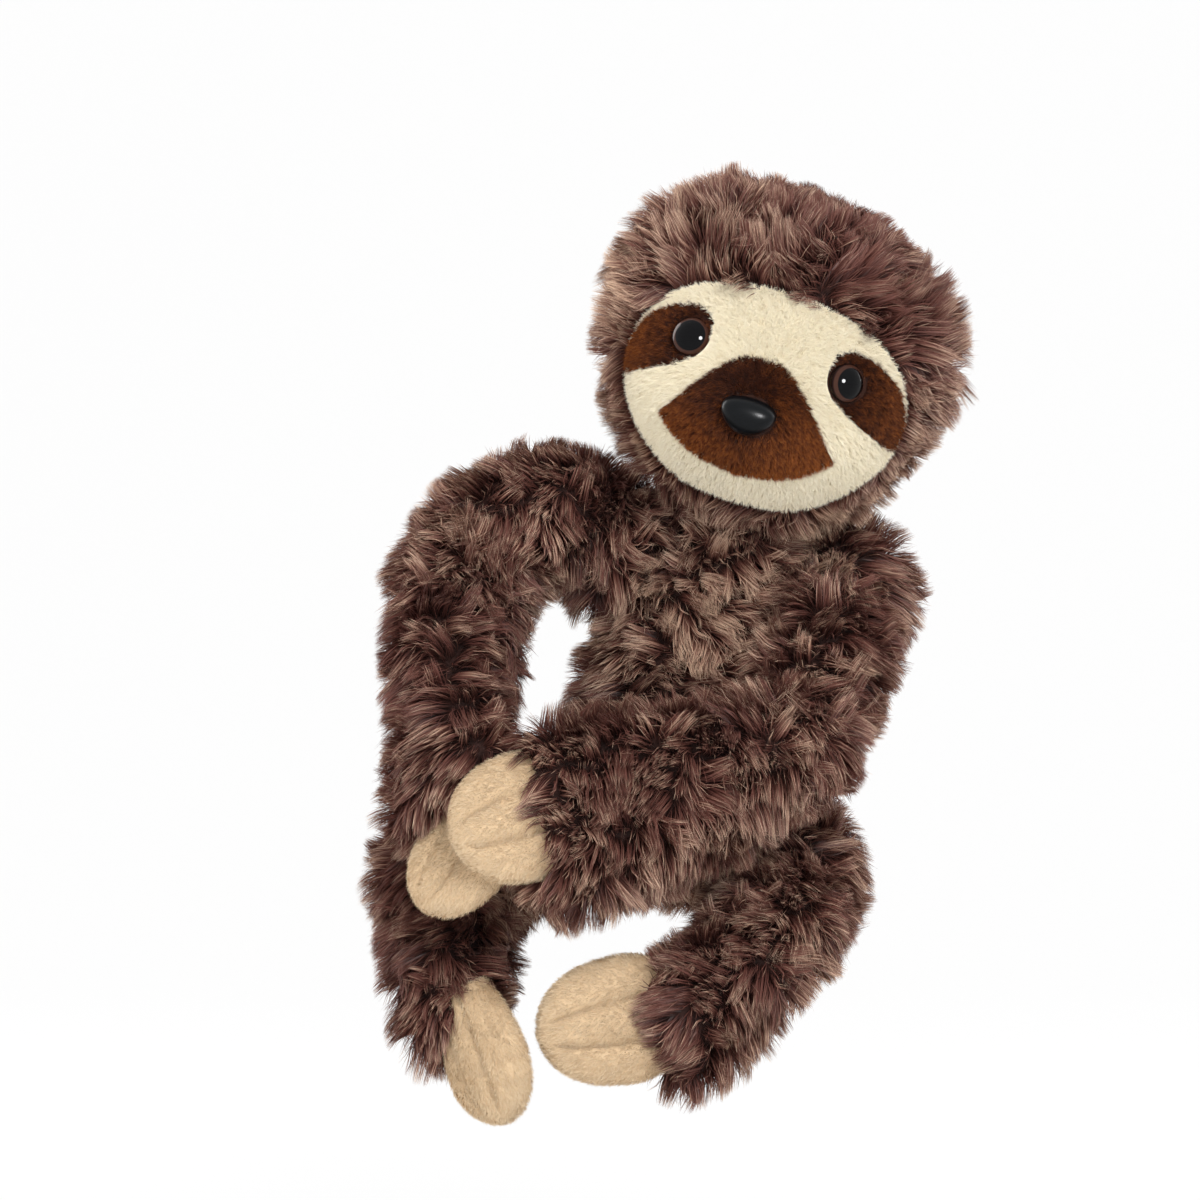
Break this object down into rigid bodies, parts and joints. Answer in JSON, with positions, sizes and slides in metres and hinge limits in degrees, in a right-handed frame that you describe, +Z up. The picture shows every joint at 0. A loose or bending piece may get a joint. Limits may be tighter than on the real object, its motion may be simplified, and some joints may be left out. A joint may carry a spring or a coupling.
{
  "type": "hugging plush sloth",
  "caption": "Plush sloth that hugs an upright pole: long-pile skins round fibre filling, a minky face and paws, plastic eyes and nose; head, arms and legs turn.",
  "frame": {"origin": "on the axis of the pole that the sloth hugs, level with the arms that cross in front of it", "axes": "+Z up along the pole, -Y towards the front, where the hands and the face are, +X to the right as seen from the front"},
  "size_m": [0.1964, 0.1543, 0.3172],
  "materials": {
    "long_pile_brown": "long shaggy pile with frosted tips",
    "fibre_filling": "loose polyester fibre",
    "minky_cream": "short brushed pile",
    "minky_brown": "short brushed pile",
    "minky_beige": "short brushed pile",
    "eye_plastic": "polished",
    "nose_plastic": "satin",
    "washer_plastic": "as moulded"
  },
  "bodies": {
    "torso": {"torso_skin": "long_pile_brown", "torso_filling": "fibre_filling"},
    "head": {"head_skin": "long_pile_brown", "head_filling": "fibre_filling", "face_panel": "minky_cream", "muzzle_patch": "minky_brown", "eye_patch_left": "minky_brown", "eye_patch_right": "minky_brown", "eye_left": "eye_plastic", "eye_right": "eye_plastic", "eye_washer_left": "washer_plastic", "eye_washer_right": "washer_plastic", "nose": "nose_plastic", "nose_washer": "washer_plastic"},
    "upper_arm_left": {"upper_arm_skin_left": "long_pile_brown", "upper_arm_filling_left": "fibre_filling"},
    "forearm_left": {"forearm_skin_left": "long_pile_brown", "forearm_filling_left": "fibre_filling", "hand_left": "minky_beige"},
    "thigh_left": {"thigh_skin_left": "long_pile_brown", "thigh_filling_left": "fibre_filling"},
    "shin_left": {"shin_skin_left": "long_pile_brown", "shin_filling_left": "fibre_filling", "foot_left": "minky_beige"},
    "upper_arm_right": {"upper_arm_skin_right": "long_pile_brown", "upper_arm_filling_right": "fibre_filling"},
    "forearm_right": {"forearm_skin_right": "long_pile_brown", "forearm_filling_right": "fibre_filling", "hand_right": "minky_beige"},
    "thigh_right": {"thigh_skin_right": "long_pile_brown", "thigh_filling_right": "fibre_filling"},
    "shin_right": {"shin_skin_right": "long_pile_brown", "shin_filling_right": "fibre_filling", "foot_right": "minky_beige"}
  },
  "joints": [
    {"name": "neck_turn", "type": "hinge", "parent": "torso", "child": "head", "pos_m": [0.0602, 0.0568, 0.08625], "axis": [0.2079, 0, 0.9781], "range_deg": [-30, 30]},
    {"name": "shoulder_swing_left", "type": "hinge", "parent": "torso", "child": "upper_arm_left", "pos_m": [0.09431, 0.0568, 0.06898], "axis": [0, 0, 1], "range_deg": [0, 40]},
    {"name": "shoulder_swing_right", "type": "hinge", "parent": "torso", "child": "upper_arm_right", "pos_m": [0.02201, 0.0568, 0.08435], "axis": [0, 0, -1], "range_deg": [0, 40]},
    {"name": "elbow_swing_left", "type": "hinge", "parent": "upper_arm_left", "child": "forearm_left", "pos_m": [0.081, 0, 0.017], "axis": [0, 0, 1], "range_deg": [0, 32]},
    {"name": "elbow_swing_right", "type": "hinge", "parent": "upper_arm_right", "child": "forearm_right", "pos_m": [-0.0386, 0.0302, 0.083], "axis": [0, 0, -1], "range_deg": [0, 32]},
    {"name": "hip_swing_left", "type": "hinge", "parent": "torso", "child": "thigh_left", "pos_m": [0.06909, 0.0498, -0.01583], "axis": [0, 0, 1], "range_deg": [0, 28]},
    {"name": "hip_swing_right", "type": "hinge", "parent": "torso", "child": "thigh_right", "pos_m": [0.01056, 0.0498, -0.00339], "axis": [0, 0, -1], "range_deg": [0, 28]},
    {"name": "knee_swing_left", "type": "hinge", "parent": "thigh_left", "child": "shin_left", "pos_m": [0.0746, 0.0078, -0.043], "axis": [0, 0, 1], "range_deg": [0, 45]},
    {"name": "knee_swing_right", "type": "hinge", "parent": "thigh_right", "child": "shin_right", "pos_m": [-0.039, 0.0244, -0.031], "axis": [0, 0, -1], "range_deg": [0, 45]}
  ]
}
